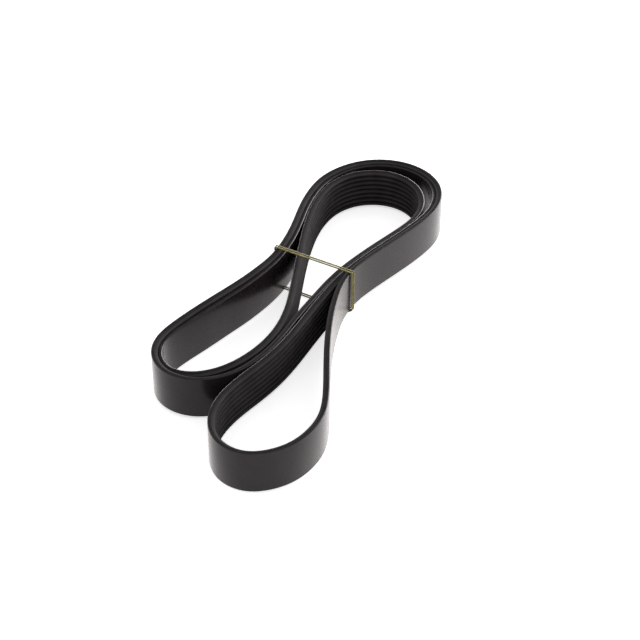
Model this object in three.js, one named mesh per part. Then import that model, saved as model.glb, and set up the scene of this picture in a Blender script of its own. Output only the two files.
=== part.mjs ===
// A multi-rib accessory drive belt, folded three layers deep for storage and standing on its cut edge,
// and the elastic band that holds the fold. Millimetres, +Z up, the floor at z = 0.
import * as THREE from 'three';

// Belt section
const RIB_COUNT = 8;
const RIB_PITCH = 3.56;
const RIB_DEPTH = 2.2;
const RIB_CREST = 1.1;
const FLANK_ANGLE = 20;
const BELT_THICKNESS = 4.1;
const BELT_WIDTH = RIB_COUNT * RIB_PITCH;

// The fold, from its front loop to its rear loop, and how its layers lie against each other
const FOLD_LENGTH = 327;
const RIB_MESH = 1.4;
const BACK_GAP = 0.4;
const OUTER_LIFT = RIB_PITCH / 2;

// Elastic band
const BAND_WIDTH = 1.1;
const BAND_THICKNESS = 0.6;
const BAND_TURNS = 2;
const BAND_PITCH = 2;
const BAND_CLEARANCE = 0.3;

// Finish
const BELT_COLOR = 0x2b2a2b;
const BELT_ROUGHNESS = 0.45;
const BAND_COLOR = 0x9a8c3a;
const BAND_ROUGHNESS = 0.55;

// Where one turn of the band changes places with the next, from the outer layer's lower edge to its upper one
const CROSSING = [
  { level: 0.2, change: 0, over: 0 },
  { level: 0.35, change: 0, over: 1 },
  { level: 0.65, change: 1, over: 1 },
  { level: 0.8, change: 1, over: 0 },
];

// Fineness: the most that the belt and the band turn in one step, in radians, and how often the path is
// relaxed on to its guides
const STEP_TURN = 0.27;
const BAND_STEP_TURN = 0.55;
const SPLINE_PASSES = 40;

// The fold seen from above, as the line of the belt's smooth back, in the order of the belt's run. All
// places and all air between layers are in thousandths of FOLD_LENGTH.
// Leg that comes down the middle from the rear loop to the left loop.
const MIDDLE_LEG = [
  { x: -43.4, y: 151.4 },
  { x: -50.5, y: 84.1 },
  { x: -57.5, y: 15.3 },
  { x: -64.8, y: -52 },
  { x: -78.6, y: -117.7 },
  { x: -103.4, y: -177.4 },
  { x: -139.1, y: -227.8 },
];

// Inner layer of the doubled run: round the left loop, up the left side and round the rear loop.
// ribAir is the air to the outer layer beyond meshed ribs, and backAir the air to the innermost layer
// beyond backs that lie together. lift is how far the outer layer sits up, as a share of OUTER_LIFT.
const DOUBLED_RUN = [
  { x: -183.5, y: -265.4, ribAir: 11.6, lift: 0 },
  { x: -232.4, y: -280.7, ribAir: 8, lift: 0.35 },
  { x: -273.1, y: -267, ribAir: 2.4, lift: 0.85 },
  { x: -292.4, y: -229.4, ribAir: 0, lift: 1 },
  { x: -286.5, y: -185, ribAir: 0, lift: 1 },
  { x: -256.9, y: -140.7, ribAir: 2.4, lift: 1 },
  { x: -217.1, y: -94.8, ribAir: 5.2, lift: 1 },
  { x: -178.9, y: -48.9, ribAir: 4.3, lift: 1 },
  { x: -142.2, y: -4.6, ribAir: 3.4, lift: 1 },
  { x: -108.6, y: 42.8, ribAir: 1.8, lift: 1 },
  { x: -81.3, y: 89.6, ribAir: 0.3, lift: 1 },
  { x: -58.1, y: 146.8, ribAir: 0, lift: 1, bandSide: 'left' },
  { x: -39.8, y: 212.5, ribAir: 0, lift: 1, backAir: 2.8 },
  { x: -26.6, y: 275.2, ribAir: 0, lift: 1, backAir: 0.6 },
  { x: -9.2, y: 337.9, ribAir: 0, lift: 1, backAir: 0.6 },
  { x: 19, y: 397.6, ribAir: 0, lift: 1, backAir: 2.4 },
  { x: 61.8, y: 441.6, ribAir: 0, lift: 1, backAir: 7 },
  { x: 116.2, y: 464.2, ribAir: 0, lift: 1, backAir: 15.9 },
  { x: 175.8, y: 455.7, ribAir: 0, lift: 1, backAir: 22 },
  { x: 221.7, y: 415.9, ribAir: 0, lift: 1, backAir: 23.2 },
  { x: 241.6, y: 359.3, ribAir: 0, lift: 1, backAir: 19.9 },
  { x: 233, y: 298.2, ribAir: 0, lift: 1, backAir: 10.1 },
  { x: 203.1, y: 244, ribAir: 0, lift: 1, backAir: 0.9 },
  { x: 159.9, y: 189.6, ribAir: 0, lift: 1, backAir: 0 },
  { x: 110.1, y: 132.4, ribAir: 0, lift: 1, backAir: 0 },
  { x: 61.8, y: 71.6, ribAir: 0, lift: 1, backAir: 0 },
  { x: 26, y: 16.2, ribAir: 7, lift: 1, backAir: 0, bandSide: 'right' },
];

// Front loop: the inner layer's run goes on down its left leg, round the front and back up its right leg.
const FRONT_LOOP = [
  { x: 0, y: -35.2, backAir: 0.9 },
  { x: -26, y: -90.2, backAir: 2.4 },
  { x: -51.4, y: -145.3, backAir: 2.4 },
  { x: -82, y: -203.1, backAir: 0.9 },
  { x: -118, y: -256, backAir: 1.5 },
  { x: -156.9, y: -307 },
  { x: -187.5, y: -362.4 },
  { x: -197.9, y: -423.5 },
  { x: -178.3, y: -481.7 },
  { x: -126.9, y: -513.8, lift: 0.1 },
  { x: -65.7, y: -504.6, lift: 0.6 },
  { x: -21.4, y: -469.4, lift: 0.95 },
  { x: 7.3, y: -415.9, lift: 1 },
  { x: 16.8, y: -354.7, lift: 1 },
  { x: 18.3, y: -292, lift: 1 },
  { x: 19.3, y: -229.4, lift: 1 },
  { x: 22, y: -168.2, lift: 1 },
  { x: 27.8, y: -107, lift: 1 },
  { x: 36.4, y: -52, lift: 1 },
];

const INNER_LINE = [...MIDDLE_LEG.slice(-1), ...DOUBLED_RUN, ...FRONT_LOOP];
const MESHED_SPACING = 2 * BELT_THICKNESS - RIB_MESH;
const BELT_FLOOR = BAND_THICKNESS + BAND_CLEARANCE;

// Unit normals of a run of guides, to the left of travel, which is the ribbed side of the belt
function ribNormals(guides) {
  return guides.map((guide, i) => {
    const before = guides[Math.max(i - 1, 0)];
    const after = guides[Math.min(i + 1, guides.length - 1)];
    return new THREE.Vector3(before.y - after.y, after.x - before.x, 0).normalize();
  });
}

// The closed run of guides: middle leg, inner layer, front loop, outer layer, innermost layer
function beltGuides() {
  const scale = FOLD_LENGTH / 1000;
  const normals = ribNormals(INNER_LINE);
  const outer = [];
  const innermost = [];
  INNER_LINE.forEach(({ x, y, ribAir, backAir, lift, bandSide }, i) => {
    if (ribAir !== undefined) {
      const spacing = MESHED_SPACING / scale + ribAir;
      outer.unshift({ x: x + normals[i].x * spacing, y: y + normals[i].y * spacing, lift, bandSide });
    }
    if (backAir !== undefined) {
      const spacing = BACK_GAP / scale + backAir;
      innermost.unshift({ x: x - normals[i].x * spacing, y: y - normals[i].y * spacing });
    }
  });
  const inner = DOUBLED_RUN.map(({ x, y }) => ({ x, y }));
  const run = [...MIDDLE_LEG, ...inner, ...FRONT_LOOP, ...outer, ...innermost];
  return run.map(({ x, y, lift = 0, bandSide }) => ({
    point: new THREE.Vector3(x * scale, y * scale, BELT_FLOOR + lift * OUTER_LIFT),
    bandSide,
  }));
}

// Control points of the closed cubic B-spline that passes through the guides, found by relaxation
function controlPoints(guides) {
  const control = guides.map(({ point }) => point.clone());
  const count = guides.length;
  for (let pass = 0; pass < SPLINE_PASSES; pass++) {
    for (let i = 0; i < count; i++) {
      const neighbours = control[(i + count - 1) % count].clone().add(control[(i + 1) % count]);
      control[i].copy(guides[i].point).multiplyScalar(6).sub(neighbours).divideScalar(4);
    }
  }
  return control;
}

// Point and direction of travel at a share t of the way from guide i to the next one
function splineAt(control, i, t) {
  const weights = [(1 - t) ** 3, 3 * t ** 3 - 6 * t ** 2 + 4, -3 * t ** 3 + 3 * t ** 2 + 3 * t + 1, t ** 3];
  const slopes = [-((1 - t) ** 2), 3 * t ** 2 - 4 * t, -3 * t ** 2 + 2 * t + 1, t ** 2];
  const point = new THREE.Vector3();
  const travel = new THREE.Vector3();
  for (let k = 0; k < 4; k++) {
    const pole = control[(i + k - 1 + control.length) % control.length];
    point.addScaledVector(pole, weights[k] / 6);
    travel.addScaledVector(pole, slopes[k]);
  }
  return { point, ribSide: new THREE.Vector3(-travel.y, travel.x, 0).normalize() };
}

// How many steps the belt takes from guide i to the next one
function stepCount(control, i) {
  const turn = splineAt(control, i, 0).ribSide.angleTo(splineAt(control, i, 1).ribSide);
  return Math.max(1, Math.round(turn / STEP_TURN));
}

// Stations along the whole belt, closer together where it turns
function beltStations(control) {
  return control.flatMap((_, i) => {
    const steps = stepCount(control, i);
    return Array.from({ length: steps }, (_, step) => splineAt(control, i, step / steps));
  });
}

// The belt's cut end: x is the depth from the smooth back, y the height above the lower cut edge
function beltSection() {
  const crest = RIB_CREST / 2;
  const foot = crest + RIB_DEPTH * Math.tan(THREE.MathUtils.degToRad(FLANK_ANGLE));
  const groove = BELT_THICKNESS - RIB_DEPTH;
  const section = [new THREE.Vector2(0, BELT_WIDTH), new THREE.Vector2(0, 0), new THREE.Vector2(groove, 0)];
  for (let rib = 0; rib < RIB_COUNT; rib++) {
    const middle = (rib + 0.5) * RIB_PITCH;
    section.push(
      new THREE.Vector2(groove, middle - foot),
      new THREE.Vector2(BELT_THICKNESS, middle - crest),
      new THREE.Vector2(BELT_THICKNESS, middle + crest),
      new THREE.Vector2(groove, middle + foot),
    );
  }
  section.push(new THREE.Vector2(groove, BELT_WIDTH));
  return section;
}

// A closed ring of equal rings of points, skinned with two triangles to each side of the section
function closedRing(rings) {
  const sides = rings[0].length;
  const positions = rings.flatMap((ring) => ring.flatMap((point) => point.toArray()));
  const faces = [];
  for (let i = 0; i < rings.length; i++) {
    const here = i * sides;
    const next = ((i + 1) % rings.length) * sides;
    for (let j = 0; j < sides; j++) {
      const beside = (j + 1) % sides;
      faces.push(here + j, here + beside, next + beside, here + j, next + beside, next + j);
    }
  }
  const geometry = new THREE.BufferGeometry();
  geometry.setAttribute('position', new THREE.Float32BufferAttribute(positions, 3));
  geometry.setIndex(faces);
  geometry.computeVertexNormals();
  return geometry;
}

function ribbedBelt(control) {
  const section = beltSection();
  const rings = beltStations(control).map(({ point, ribSide }) =>
    section.map(({ x, y }) => point.clone().addScaledVector(ribSide, x).setZ(point.z + y)),
  );
  const material = new THREE.MeshStandardMaterial({ color: BELT_COLOR, roughness: BELT_ROUGHNESS });
  const belt = new THREE.Mesh(closedRing(rings), material);
  belt.name = 'ribbed_belt';
  return belt;
}

// Where the band lies on the outer layer's back, half way from the named guide to the next one
function bandRest(guides, control, side) {
  const index = guides.findIndex((guide) => guide.bandSide === side);
  const steps = stepCount(control, index);
  const before = splineAt(control, index, Math.floor(steps / 2) / steps);
  const after = splineAt(control, index, Math.ceil(steps / 2) / steps);
  const point = before.point.lerp(after.point, 0.5).setZ(BELT_FLOOR);
  const outward = before.ribSide.add(after.ribSide).normalize().negate();
  const along = new THREE.Vector3(-outward.y, outward.x, 0);
  return { point, outward, along: along.multiplyScalar(Math.sign(along.y)) };
}

// The band's cut end, standing off the belt in the direction of the normal
function bandRing(rest, { inset = 0, height, angle = 0 }, place, rise = 0) {
  const normal = rest.outward.clone().multiplyScalar(Math.cos(angle)).setZ(Math.sin(angle));
  const foot = rest.point.clone().addScaledVector(rest.outward, -inset).addScaledVector(rest.along, place);
  foot.z += height;
  const inner = BAND_CLEARANCE + rise;
  const outer = inner + BAND_THICKNESS;
  const half = BAND_WIDTH / 2;
  return [[inner, -half], [inner, half], [outer, half], [outer, -half]].map(([stand, across]) =>
    foot.clone().addScaledVector(normal, stand).addScaledVector(rest.along, across),
  );
}

// The bends of one side of the bundle from its top to its floor: over the outer layer's upper edge, under
// its lower edge and on under the lower layer next to it
function bandBends() {
  const step = MESHED_SPACING - BELT_THICKNESS;
  const slope = -Math.atan2(step, OUTER_LIFT);
  const upright = Math.PI / 2;
  return [
    { height: OUTER_LIFT + BELT_WIDTH, from: upright, to: 0 },
    { height: OUTER_LIFT, from: 0, to: slope },
    { inset: step, height: 0, from: slope, to: -upright },
  ];
}

function bendRings(rest, { inset, height, from, to }, place) {
  const steps = Math.ceil(Math.abs(to - from) / BAND_STEP_TURN);
  return Array.from({ length: steps + 1 }, (_, i) =>
    bandRing(rest, { inset, height, angle: from + ((to - from) * i) / steps }, place),
  );
}

// One turn's change of place on the outer layer's back, where the last turn crosses over the others
function crossingRings(rest, place, nextPlace, rise) {
  return CROSSING.map(({ level, change, over }) =>
    bandRing(
      rest,
      { height: OUTER_LIFT + level * BELT_WIDTH },
      THREE.MathUtils.lerp(place, nextPlace, change),
      over * rise,
    ),
  );
}

function turnPlace(turn) {
  return ((turn % BAND_TURNS) - (BAND_TURNS - 1) / 2) * BAND_PITCH;
}

function rubberBand(guides, control) {
  const left = bandRest(guides, control, 'left');
  const right = bandRest(guides, control, 'right');
  const [upperBend, ...lowerBends] = bandBends();
  const rings = [];
  for (let turn = 0; turn < BAND_TURNS; turn++) {
    const place = turnPlace(turn);
    const nextPlace = turnPlace(turn + 1);
    const rise = turn === BAND_TURNS - 1 ? BAND_THICKNESS + BAND_CLEARANCE : 0;
    rings.push(
      ...[upperBend, ...lowerBends].flatMap((bend) => bendRings(right, bend, place)),
      ...lowerBends.flatMap((bend) => bendRings(left, bend, place)).reverse(),
      ...crossingRings(left, place, nextPlace, rise),
      ...bendRings(left, upperBend, nextPlace).reverse(),
    );
  }
  const material = new THREE.MeshStandardMaterial({ color: BAND_COLOR, roughness: BAND_ROUGHNESS });
  const band = new THREE.Mesh(closedRing(rings), material);
  band.name = 'rubber_band';
  return band;
}

const guides = beltGuides();
const control = controlPoints(guides);
const part = new THREE.Group();
part.add(ribbedBelt(control), rubberBand(guides, control));

// The middle of the footprint is the origin
const middle = new THREE.Box3().setFromObject(part).getCenter(new THREE.Vector3());
part.position.set(-middle.x, -middle.y, 0);

export default part;
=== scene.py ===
import math

import bpy
from mathutils import Matrix, Vector


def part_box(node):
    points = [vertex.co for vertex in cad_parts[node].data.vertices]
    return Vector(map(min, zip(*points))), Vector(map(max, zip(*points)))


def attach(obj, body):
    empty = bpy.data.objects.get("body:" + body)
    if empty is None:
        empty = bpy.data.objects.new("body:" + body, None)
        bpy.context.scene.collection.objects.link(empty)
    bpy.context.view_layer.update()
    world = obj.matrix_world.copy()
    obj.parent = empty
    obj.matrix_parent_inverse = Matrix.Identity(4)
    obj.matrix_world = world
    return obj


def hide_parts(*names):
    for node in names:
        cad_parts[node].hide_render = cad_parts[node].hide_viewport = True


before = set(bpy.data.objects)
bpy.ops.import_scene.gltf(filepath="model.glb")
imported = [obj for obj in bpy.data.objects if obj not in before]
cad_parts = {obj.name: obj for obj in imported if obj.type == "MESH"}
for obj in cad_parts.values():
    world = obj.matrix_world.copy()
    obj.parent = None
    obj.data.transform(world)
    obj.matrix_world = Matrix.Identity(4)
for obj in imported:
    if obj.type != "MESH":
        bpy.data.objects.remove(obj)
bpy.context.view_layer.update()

# The belt: one endless multi-rib drive belt, moulded and cut from black rubber in one piece. It stands on
# its cut edge, folded three layers deep: a front loop, a left loop and a rear loop. Its back is smooth and
# glossy, its ribs and cut edges are dull.
MM = 0.001
rib_count = 8
rib_pitch = 3.56
rib_depth = 2.2
rib_crest = 1.1
flank_angle = math.radians(20)
rib_foot = rib_crest + 2 * rib_depth * math.tan(flank_angle)
rib_corner = 0.13
belt_width = rib_count * rib_pitch
belt_thickness = 4.1
groove_depth = belt_thickness - rib_depth
back_corner = 0.7
back_corner_steps = 6

# How the layers lie: ribs meshed with ribs, back close to back, all of it on the holding band's lower turns
rib_mesh = 1.4
meshed_spacing = 2 * belt_thickness - rib_mesh
back_gap = 0.4
outer_lift = rib_pitch / 2
band_thickness = 0.6
band_clearance = 0.3
belt_floor = band_thickness + band_clearance

# The line of the smooth back, seen from above, in millimetres: (x, y) of each guide down the middle leg
middle_leg = [
    (-14.2, 49.5), (-16.5, 27.5), (-18.8, 5), (-21.2, -17), (-25.7, -38.5), (-33.8, -58), (-45.5, -74.5),
]
# Then the doubled run: (x, y, air to the outer layer, that layer's lift, air to the innermost layer)
left_loop = [
    (-60, -86.8, 3.8, 0, None), (-76, -91.8, 2.6, 0.35, None), (-89.3, -87.3, 0.8, 0.85, None),
    (-95.6, -75, 0, 1, None), (-93.7, -60.5, 0, 1, None), (-84, -46, 0.8, 1, None), (-71, -31, 1.7, 1, None),
    (-58.5, -16, 1.4, 1, None), (-46.5, -1.5, 1.1, 1, None), (-35.5, 14, 0.6, 1, None),
    (-26.6, 29.3, 0.1, 1, None),
]
rear_loop = [
    (-19, 48, 0, 1, None), (-13, 69.5, 0, 1, 0.9), (-8.7, 90, 0, 1, 0.2), (-3, 110.5, 0, 1, 0.2),
    (6.2, 130, 0, 1, 0.8), (20.2, 144.4, 0, 1, 2.3), (38, 151.8, 0, 1, 5.2), (57.5, 149, 0, 1, 7.2),
    (72.5, 136, 0, 1, 7.6), (79, 117.5, 0, 1, 6.5), (76.2, 97.5, 0, 1, 3.3), (66.4, 79.8, 0, 1, 0.3),
    (52.3, 62, 0, 1, 0), (36, 43.3, 0, 1, 0), (20.2, 23.4, 0, 1, 0), (8.5, 5.3, 2.3, 1, 0),
]
doubled_run = left_loop + rear_loop
# Then the front loop: (x, y, lift, air to the innermost layer)
front_loop = [
    (0, -11.5, 0, 0.3), (-8.5, -29.5, 0, 0.8), (-16.8, -47.5, 0, 0.8), (-26.8, -66.4, 0, 0.3),
    (-38.6, -83.7, 0, 0.5), (-51.3, -100.4, 0, None), (-61.3, -118.5, 0, None), (-64.7, -138.5, 0, None),
    (-58.3, -157.5, 0, None), (-41.5, -168, 0.1, None), (-21.5, -165, 0.6, None), (-7, -153.5, 0.95, None),
    (2.4, -136, 1, None), (5.5, -116, 1, None), (6, -95.5, 1, None), (6.3, -75, 1, None),
    (7.2, -55, 1, None), (9.1, -35, 1, None), (11.9, -17, 1, None),
]
inner_line = [middle_leg[-1]] + [guide[:2] for guide in doubled_run + front_loop]


def beside(index, offset):
    """The point beside a guide of the inner line: on its ribbed side, or on its back with a minus sign."""
    (ax, ay), (bx, by) = inner_line[index - 1], inner_line[index + 1]
    length = math.hypot(bx - ax, by - ay)
    x, y = inner_line[index]
    return x + (ay - by) / length * offset, y + (bx - ax) / length * offset


def closed_spline(guides, passes=40):
    """Control points of the closed cubic B-spline through the guides, found by relaxation."""
    poles = [guide.copy() for guide in guides]
    for _ in range(passes):
        for i, guide in enumerate(guides):
            poles[i] = (6 * guide - poles[i - 1] - poles[(i + 1) % len(poles)]) / 4
    return poles


inner = [(x, y, 0) for x, y in middle_leg + [guide[:2] for guide in doubled_run]]
front = [guide[:3] for guide in front_loop]
outer = [
    (*beside(i, meshed_spacing + air), lift)
    for i, (_, _, air, lift, _) in enumerate(doubled_run, start=1)
]
innermost = [
    (*beside(i, -back_gap - back_air), 0)
    for i, (*_, back_air) in enumerate(doubled_run + front_loop, start=1)
    if back_air is not None
]
# The closed run starts three guides before the front loop, where the layers on both sides hide the seam
# in the rubber's pattern
fold = inner[-3:] + front + outer[::-1] + innermost[::-1] + inner[:-3]
fold_path = bpy.data.curves.new("fold_path", "CURVE")
fold_path.dimensions = "3D"
fold_path.resolution_u = 8
spline = fold_path.splines.new("NURBS")
spline.points.add(len(fold) - 1)
poles = closed_spline([Vector((x, y, belt_floor + lift * outer_lift)) for x, y, lift in fold])
for point, pole in zip(spline.points, poles):
    point.co = (*(pole * MM), 1)
spline.order_u = 4
spline.use_cyclic_u = True
belt_path = bpy.data.objects.new("belt_path", fold_path)
bpy.context.collection.objects.link(belt_path)


def plain_section():
    """The belt's cut end before its ribs are raised: x is the depth from the back, y the height."""
    outline = [(groove_depth, 0)]
    for rib in range(rib_count):
        centre = (rib + 0.5) * rib_pitch
        for corner in (-rib_foot / 2, -rib_crest / 2, rib_crest / 2, rib_foot / 2):
            outline += [(groove_depth, centre + corner + side * rib_corner) for side in (-1, 1)]
    outline += [(groove_depth, belt_width)]
    turns = [math.radians(90 * step / back_corner_steps) for step in range(back_corner_steps + 1)]
    arc = [(back_corner * (1 - math.sin(turn)), back_corner * (1 - math.cos(turn))) for turn in turns]
    outline += [(depth, belt_width - height) for depth, height in arc]
    outline += [(0, belt_width / 2)]
    return outline + [(height, depth) for depth, height in arc]


section_outline = plain_section()
cut_end = bpy.data.curves.new("belt_section", "CURVE")
cut_end.dimensions = "2D"
edge_line = cut_end.splines.new("POLY")
edge_line.points.add(len(section_outline) - 1)
for point, (x, y) in zip(edge_line.points, section_outline):
    point.co = (x * MM, y * MM, 0, 1)
edge_line.use_cyclic_u = True
belt_section = bpy.data.objects.new("belt_section", cut_end)
bpy.context.collection.objects.link(belt_section)


def add(tree, kind, inputs=None, **settings):
    """A node with its settings, and its inputs set to a value or joined to another node's output."""
    node = tree.nodes.new(kind)
    for name, value in settings.items():
        setattr(node, name, value)
    for name, value in (inputs or {}).items():
        if isinstance(value, bpy.types.NodeSocket):
            tree.links.new(value, node.inputs[name])
        else:
            node.inputs[name].default_value = value
    return node


def math_node(tree, operation, *values):
    """The output of a Math node."""
    return add(tree, "ShaderNodeMath", dict(enumerate(values)), operation=operation).outputs[0]


# The tree raises the ribs on the cut end, stores each point's place in it, and sweeps it along the fold
belt_rubber = bpy.data.materials.new("belt_rubber")
belt_rubber.use_nodes = True
sweep = bpy.data.node_groups.new("ribbed belt along its fold", "GeometryNodeTree")
sweep.interface.new_socket("Fold", in_out="INPUT", socket_type="NodeSocketGeometry")
belt_inputs = (
    ("Section", "NodeSocketObject", belt_section),
    ("Rib pitch", "NodeSocketFloat", rib_pitch * MM),
    ("Rib depth", "NodeSocketFloat", rib_depth * MM),
    ("Crest width", "NodeSocketFloat", rib_crest * MM),
    ("Foot width", "NodeSocketFloat", rib_foot * MM),
    ("Groove depth", "NodeSocketFloat", groove_depth * MM),
    ("Rubber", "NodeSocketMaterial", belt_rubber),
)
identifiers = [
    sweep.interface.new_socket(name, in_out="INPUT", socket_type=kind).identifier
    for name, kind, _ in belt_inputs
]
sweep.interface.new_socket("Belt", in_out="OUTPUT", socket_type="NodeSocketGeometry")
given = add(sweep, "NodeGroupInput").outputs
plain = add(sweep, "GeometryNodeObjectInfo", {"Object": given["Section"]}).outputs["Geometry"]
position = add(sweep, "GeometryNodeInputPosition").outputs[0]
on_cut_end = add(sweep, "ShaderNodeSeparateXYZ", {0: position}).outputs
off_crest = math_node(sweep, "FRACT", math_node(sweep, "DIVIDE", on_cut_end["Y"], given["Rib pitch"]))
off_crest = math_node(sweep, "ABSOLUTE", math_node(sweep, "SUBTRACT", off_crest, 0.5))
raised = add(sweep, "ShaderNodeMapRange", {
    "Value": math_node(sweep, "MULTIPLY", off_crest, given["Rib pitch"]),
    "From Min": math_node(sweep, "MULTIPLY", given["Foot width"], 0.5),
    "From Max": math_node(sweep, "MULTIPLY", given["Crest width"], 0.5),
    "To Max": given["Rib depth"],
}).outputs[0]
almost_groove = math_node(sweep, "MULTIPLY", given["Groove depth"], 0.99)
ribbed = add(sweep, "GeometryNodeSetPosition", {
    "Geometry": plain,
    "Selection": math_node(sweep, "GREATER_THAN", on_cut_end["X"], almost_groove),
    "Offset": add(sweep, "ShaderNodeCombineXYZ", {"X": raised}).outputs[0],
}).outputs[0]
for name, axis in (("depth", "X"), ("height", "Y")):
    ribbed = add(sweep, "GeometryNodeStoreNamedAttribute", {
        "Geometry": ribbed, "Name": name, "Value": on_cut_end[axis],
    }).outputs[0]
ribbed = add(sweep, "GeometryNodeTransform", {"Geometry": ribbed, "Rotation": (0, 0, math.pi)}).outputs[0]
run = add(sweep, "GeometryNodeResampleCurve", {"Curve": given["Fold"]}, mode="EVALUATED").outputs[0]
run = add(sweep, "GeometryNodeStoreNamedAttribute", {
    "Geometry": run, "Name": "run", "Value": add(sweep, "GeometryNodeSplineParameter").outputs["Length"],
}).outputs[0]
run = add(sweep, "GeometryNodeSetCurveNormal", {"Curve": run}, mode="Z_UP").outputs[0]
body = add(sweep, "GeometryNodeCurveToMesh", {"Curve": run, "Profile Curve": ribbed}).outputs[0]
body = add(sweep, "GeometryNodeSetShadeSmooth", {"Geometry": body}).outputs[0]
body = add(sweep, "GeometryNodeRealizeInstances", {"Geometry": body}).outputs[0]
body = add(sweep, "GeometryNodeSetMaterial", {"Geometry": body, "Material": given["Rubber"]}).outputs[0]
add(sweep, "NodeGroupOutput", {"Belt": body})

modifier = belt_path.modifiers.new("ribbed belt", "NODES")
modifier.node_group = sweep
for identifier, (_, _, value) in zip(identifiers, belt_inputs):
    modifier[identifier] = value
swept = belt_path.evaluated_get(bpy.context.evaluated_depsgraph_get())
belt_mesh = bpy.data.meshes.new_from_object(swept)
belt_path.modifiers.remove(modifier)
bpy.data.objects.remove(belt_path)
bpy.data.objects.remove(belt_section)
sharpest_smooth_turn = math.radians(40)
belt_mesh.set_sharp_from_angle(angle=sharpest_smooth_turn)

# The fold's own origin is moved so that the belt fills its place in the frame
node_lo, node_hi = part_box("ribbed_belt")
spans = [[vertex.co[axis] for vertex in belt_mesh.vertices] for axis in (0, 1)]
swept_middle = Vector([(min(span) + max(span)) / 2 for span in spans] + [0])
fold_place = Vector(((node_lo.x + node_hi.x) / 2, (node_lo.y + node_hi.y) / 2, 0)) - swept_middle
belt_mesh.transform(Matrix.Translation(fold_place))
belt = bpy.data.objects.new("folded_belt", belt_mesh)
bpy.context.collection.objects.link(belt)


def between(tree, value, low, high):
    """A mask that rises smoothly from 0 to 1 as the value goes from low to high."""
    return add(tree, "ShaderNodeMapRange", {
        "Value": value, "From Min": low, "From Max": high,
    }, interpolation_type="SMOOTHSTEP").outputs[0]


def mix_values(tree, share, first, second):
    """The first value, and as much of the second as the share says."""
    return add(tree, "ShaderNodeMix", {0: share, 2: first, 3: second}).outputs[0]


def mix_colours(tree, share, first, second):
    """The first colour, and as much of the second as the share says."""
    return add(tree, "ShaderNodeMix", {0: share, 6: first, 7: second}, data_type="RGBA").outputs[2]


def speckle_group():
    """A shader group: the fine grain and the broad mottling of rubber, and the rare pale specks on it."""
    group = bpy.data.node_groups.new("rubber speckle", "ShaderNodeTree")
    group.interface.new_socket("Place", in_out="INPUT", socket_type="NodeSocketVector")
    for name in ("Grain scale", "Mottling scale"):
        group.interface.new_socket(name, in_out="INPUT", socket_type="NodeSocketFloat")
    for name in ("Grain", "Mottling", "Specks"):
        group.interface.new_socket(name, in_out="OUTPUT", socket_type="NodeSocketFloat")
    given = add(group, "NodeGroupInput").outputs
    grain = add(group, "ShaderNodeTexNoise", {
        "Vector": given["Place"], "Scale": given["Grain scale"], "Detail": 3.0, "Roughness": 0.6,
    }).outputs["Fac"]
    cloud = add(group, "ShaderNodeTexNoise", {
        "Vector": given["Place"], "Scale": given["Mottling scale"], "Detail": 2.0, "Roughness": 0.5,
    }).outputs["Fac"]
    add(group, "NodeGroupOutput", {
        "Grain": grain,
        "Mottling": between(group, cloud, 0.3, 0.7),
        "Specks": between(group, grain, 0.70, 0.76),
    })
    return group


# Black rubber: glossy and slightly brown on the back, dull with a sawn grain on the cut edges, and dull on
# the ribs, with painted shade darkening their grooves and painted light on their crests
back_black = (0.0150, 0.0112, 0.0120, 1)
edge_black = (0.0180, 0.0157, 0.0160, 1)
# The crest and groove colours are painted light and shade: lighter crests for the light they catch, darker
# grooves for the shade in them
crest_painted_light = (0.0440, 0.0392, 0.0398, 1)
groove_painted_shade = (0.0258, 0.0228, 0.0232, 1)
speck_grey = (0.20, 0.19, 0.19, 1)
back_tint = (0.85, 1.15)
edge_tint = (0.65, 1.35)
back_roughness = 0.28
rib_roughness = 0.8
edge_roughness = 0.85
roughness_drift = (-0.03, 0.03)
back_grain = 0.08
edge_grain = 0.6
grain_height = 0.1
# Where one finish, or the painted shade and light on the ribs, gives way to the next: distances from the
# belt's mid height, then depths from its back
rim_fade = (belt_width / 2 - 0.12, belt_width / 2 - 0.02)
corner_fade = (0.85 * back_corner, 1.05 * back_corner)
rib_fade = (0.55 * groove_depth, 0.95 * groove_depth)
# Where the painted shade in the grooves gives way to the painted light on the crests
painted_shade_fade = (groove_depth + 0.4, belt_thickness - 0.2)
rubber_speckle = speckle_group()
tree = belt_rubber.node_tree
surface = tree.nodes["Principled BSDF"]
along, height, depth = (
    add(tree, "ShaderNodeAttribute", attribute_name=name).outputs["Fac"]
    for name in ("run", "height", "depth")
)


def rubber_pattern(stretch, grain_scale, mottling_scale):
    """The speckle laid on the rubber, drawn out along the belt's run."""
    drawn_out = math_node(tree, "DIVIDE", along, stretch)
    spot = add(tree, "ShaderNodeCombineXYZ", {"X": drawn_out, "Y": height, "Z": depth}).outputs[0]
    return add(tree, "ShaderNodeGroup", {
        "Place": spot, "Grain scale": grain_scale, "Mottling scale": mottling_scale,
    }, node_tree=rubber_speckle).outputs


def past(place, fade):
    """A mask that rises over a fade given in millimetres."""
    low, high = fade
    return between(tree, place, low * MM, high * MM)


on_back = rubber_pattern(stretch=1.0, grain_scale=2600.0, mottling_scale=90.0)
on_ribs = rubber_pattern(stretch=14.0, grain_scale=2600.0, mottling_scale=90.0)
on_edge = rubber_pattern(stretch=4.0, grain_scale=1000.0, mottling_scale=600.0)
off_centre = math_node(tree, "ABSOLUTE", math_node(tree, "SUBTRACT", height, belt_width * MM / 2))
at_edge = math_node(tree, "MULTIPLY", past(off_centre, rim_fade), past(depth, corner_fade))
at_ribs = past(depth, rib_fade)
at_back = math_node(
    tree, "MULTIPLY", math_node(tree, "SUBTRACT", 1.0, at_ribs), math_node(tree, "SUBTRACT", 1.0, at_edge),
)
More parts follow.
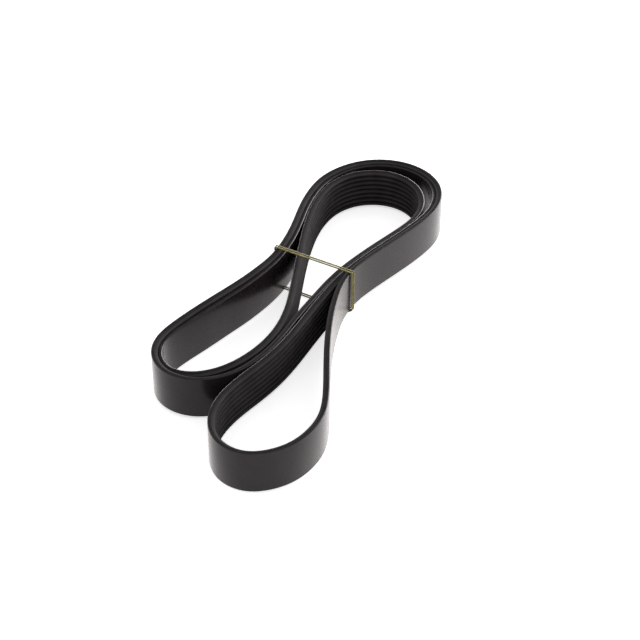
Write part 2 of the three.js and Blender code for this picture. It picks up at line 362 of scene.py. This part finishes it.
# Painted light and shade on the ribs: dark down in the grooves, lighter toward the crests
rib_painted_light_and_shade = mix_colours(tree, past(depth, painted_shade_fade), groove_painted_shade, crest_painted_light)
edge_colour = mix_colours(tree, on_edge["Specks"], edge_black, speck_grey)
colour = mix_colours(tree, at_ribs, back_black, rib_painted_light_and_shade)
colour = mix_colours(tree, at_edge, colour, edge_colour)
back_mottling = mix_values(tree, on_back["Mottling"], *back_tint)
edge_mottling = mix_values(tree, on_edge["Mottling"], *edge_tint)
tint = mix_values(tree, at_edge, back_mottling, edge_mottling)
tinted = add(tree, "ShaderNodeVectorMath", {0: colour, "Scale": tint}, operation="SCALE").outputs[0]
roughness = mix_values(tree, at_ribs, back_roughness, rib_roughness)
roughness = mix_values(tree, at_edge, roughness, edge_roughness)
drift = mix_values(tree, on_back["Mottling"], *roughness_drift)
bump = add(tree, "ShaderNodeBump", {
    "Height": mix_values(tree, at_ribs, on_back["Grain"], on_ribs["Grain"]),
    "Strength": mix_values(tree, at_edge, back_grain, edge_grain),
    "Distance": grain_height * MM,
}).outputs[0]
for name, value in (
    ("Base Color", tinted),
    ("Roughness", math_node(tree, "ADD", roughness, drift)),
    ("Normal", bump),
    ("Coat Weight", at_back),
):
    tree.links.new(value, surface.inputs[name])
for name, value in (
    ("IOR", 1.46), ("Specular IOR Level", 0.06), ("Coat IOR", 1.3), ("Coat Roughness", 0.20),
):
    surface.inputs[name].default_value = value
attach(belt, "root")
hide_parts("ribbed_belt")

# The elastic band: one ring of olive natural rubber, wound twice round the bundle between the left loop and
# the rear loop, where the doubled run is narrowest. It bends round the outer layer's upper and lower edges
# and crosses itself on the left.
band_width = 1.1
band_corner = 0.15
band_pitch = 2.0
band_turns = 2
band_bend_steps = 7


def band_rest(before, after):
    """The belt's foot where the band lies, half way between two guides, its outward way and its run."""
    a, b = (Vector((x, y, belt_floor)) for x, y, _ in (before, after))
    along = (b - a).normalized()
    outward = Vector((-along.y, along.x, 0))
    return (a + b) / 2, outward, along if along.y > 0 else -along


def band_ring(rest, inset, height, angle, place, rise=0.0):
    """The band's cut end, standing off the belt at an angle: a rectangle with eased corners."""
    point, outward, along = rest
    normal = outward * math.cos(angle) + Vector((0, 0, math.sin(angle)))
    foot = point - outward * inset + along * place + Vector((0, 0, height))
    low = band_clearance + rise
    high = low + band_thickness
    half = band_width / 2
    return [
        foot + normal * stand + along * across
        for stand, across in (
            (low, -half + band_corner), (low, half - band_corner),
            (low + band_corner, half), (high - band_corner, half),
            (high, half - band_corner), (high, -half + band_corner),
            (high - band_corner, -half), (low + band_corner, -half),
        )
    ]


# Bends from the top of the bundle to its floor: (inset, height, angle from, angle to)
layer_step = meshed_spacing - belt_thickness
under_slope = -math.atan2(layer_step, outer_lift)
top_bend = (0, outer_lift + belt_width, math.pi / 2, 0)
lower_bends = [(0, outer_lift, 0, under_slope), (layer_step, 0, under_slope, -math.pi / 2)]
# Where a turn changes places with the next one, going up: (share of the belt's height, change, over or not)
crossing = [(0.2, 0, 0), (0.35, 0, 1), (0.65, 1, 1), (0.8, 1, 0)]


def bend_rings(rest, bend, place):
    """The band's cut ends round one bend, from the top down."""
    inset, height, start, end = bend
    angles = [start + (end - start) * step / band_bend_steps for step in range(band_bend_steps + 1)]
    return [band_ring(rest, inset, height, angle, place) for angle in angles]


left = band_rest(outer[len(left_loop) - 1], outer[len(left_loop)])
right = band_rest(outer[-2], outer[-1])
rings = []
for turn in range(band_turns):
    place = band_pitch * (turn - (band_turns - 1) / 2)
    next_place = band_pitch * ((turn + 1) % band_turns - (band_turns - 1) / 2)
    rise = (band_thickness + band_clearance) * turn
    for bend in [top_bend] + lower_bends:
        rings += bend_rings(right, bend, place)
    for bend in lower_bends[::-1]:
        rings += bend_rings(left, bend, place)[::-1]
    for level, change, over in crossing:
        crossed = place + (next_place - place) * change
        rings.append(band_ring(left, 0, outer_lift + level * belt_width, 0, crossed, over * rise))
    rings += bend_rings(left, top_bend, next_place)[::-1]

sides = len(rings[0])
band_faces = []
for i in range(len(rings)):
    here = i * sides
    there = (i + 1) % len(rings) * sides
    for j in range(sides):
        beyond = (j + 1) % sides
        band_faces.append((here + j, here + beyond, there + beyond, there + j))
band_mesh = bpy.data.meshes.new("holding_band")
band_mesh.from_pydata([point * MM + fold_place for ring in rings for point in ring], [], band_faces)
band_mesh.shade_smooth()
band = bpy.data.objects.new("holding_band", band_mesh)
bpy.context.collection.objects.link(band)

# Olive natural rubber, clouded lighter and darker, with a soft sheen
olive_dark = (0.125, 0.099, 0.014, 1)
olive_light = (0.238, 0.198, 0.042, 1)
band_rubber = bpy.data.materials.new("band_rubber")
band_rubber.use_nodes = True
tree = band_rubber.node_tree
surface = tree.nodes["Principled BSDF"]
on_band = add(tree, "ShaderNodeGroup", {
    "Place": add(tree, "ShaderNodeTexCoord").outputs["Object"],
    "Grain scale": 1500.0,
    "Mottling scale": 260.0,
}, node_tree=rubber_speckle).outputs
olive = mix_colours(tree, on_band["Mottling"], olive_dark, olive_light)
tree.links.new(olive, surface.inputs["Base Color"])
bump = add(tree, "ShaderNodeBump", {
    "Height": on_band["Grain"], "Strength": 0.2, "Distance": grain_height * MM,
}).outputs[0]
tree.links.new(bump, surface.inputs["Normal"])
for name, value in (("Roughness", 0.5), ("Specular IOR Level", 0.3)):
    surface.inputs[name].default_value = value
band_mesh.materials.append(band_rubber)
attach(band, "root")
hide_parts("rubber_band")

# The studio floor: white, keeping the belt's shadow. Its glow shows only to the camera and in the belt's
# reflections, where it is a little warmer, and lights nothing.
floor_half = 4.0
floor_white = (0.92, 0.92, 0.92, 1)
seen_white = (1, 1, 1, 1)
mirrored_white = (1, 0.93, 0.91, 1)
seen_glow = 0.65
mirrored_glow = 0.60
floor_mesh = bpy.data.meshes.new("studio_floor")
floor_corners = [(x * floor_half, y * floor_half, 0) for x, y in ((-1, -1), (1, -1), (1, 1), (-1, 1))]
floor_mesh.from_pydata(floor_corners, [], [(0, 1, 2, 3)])
floor = bpy.data.objects.new("studio_floor", floor_mesh)
bpy.context.collection.objects.link(floor)
floor_paint = bpy.data.materials.new("floor_paint")
floor_paint.use_nodes = True
tree = floor_paint.node_tree
tree.nodes.clear()
rays = add(tree, "ShaderNodeLightPath").outputs
mirrored = math_node(tree, "MAXIMUM", rays["Is Glossy Ray"], rays["Is Transmission Ray"])
glow = add(tree, "ShaderNodeEmission", {
    "Color": mix_colours(tree, rays["Is Camera Ray"], mirrored_white, seen_white),
    "Strength": math_node(
        tree, "MAXIMUM",
        math_node(tree, "MULTIPLY", mirrored, mirrored_glow),
        math_node(tree, "MULTIPLY", rays["Is Camera Ray"], seen_glow),
    ),
}).outputs[0]
diffuse = add(tree, "ShaderNodeBsdfDiffuse", {"Color": floor_white}).outputs[0]
both = add(tree, "ShaderNodeAddShader", {0: diffuse, 1: glow}).outputs[0]
add(tree, "ShaderNodeOutputMaterial", {"Surface": both})
floor_mesh.materials.append(floor_paint)

# The light: an even white from all round, two long soft lamps low behind the belt, whose reflections draw
# the thin lines on its upper edges, and a small lamp on its right
world = bpy.data.worlds.new("studio")
bpy.context.scene.world = world
world.use_nodes = True
background = world.node_tree.nodes["Background"]
background.inputs["Color"].default_value = (1, 1, 1, 1)
background.inputs["Strength"].default_value = 0.70
# Each lamp: (name, width, height, watts, place), in metres
lamps = [
    ("right_softbox", 2.3, 0.6, 38.0, (0.88, 1.22, 0.40)),
    ("left_softbox", 0.92, 0.3, 6.5, (-0.39, 1.45, 0.22)),
    ("side_softbox", 0.32, 0.32, 1.6, (1.19, 0.32, 0.86)),
]
for name, width, height, watts, place in lamps:
    softbox = bpy.data.lights.new(name, "AREA")
    softbox.shape = "RECTANGLE"
    softbox.size = width
    softbox.size_y = height
    softbox.energy = watts
    lamp = bpy.data.objects.new(name, softbox)
    lamp.location = place
    lamp.rotation_euler = (-lamp.location).to_track_quat("-Z", "Y").to_euler()
    bpy.context.collection.objects.link(lamp)

# The camera looks down along the bundle at the photograph's angle
photo_width = 640
focal_pixels = 1565
elevation = math.radians(35.6)
distance = 1.026
lens = bpy.data.cameras.new("camera")
lens.sensor_width = 36
lens.lens = lens.sensor_width * focal_pixels / photo_width
camera = bpy.data.objects.new("camera", lens)
aim = fold_place + Vector((0, 0, belt_floor * MM))
camera.location = aim + Vector((0, -math.cos(elevation), math.sin(elevation))) * distance
camera.rotation_euler = (math.pi / 2 - elevation, 0, 0)
bpy.context.collection.objects.link(camera)
bpy.context.scene.camera = camera
bpy.context.scene.view_settings.view_transform = "Standard"
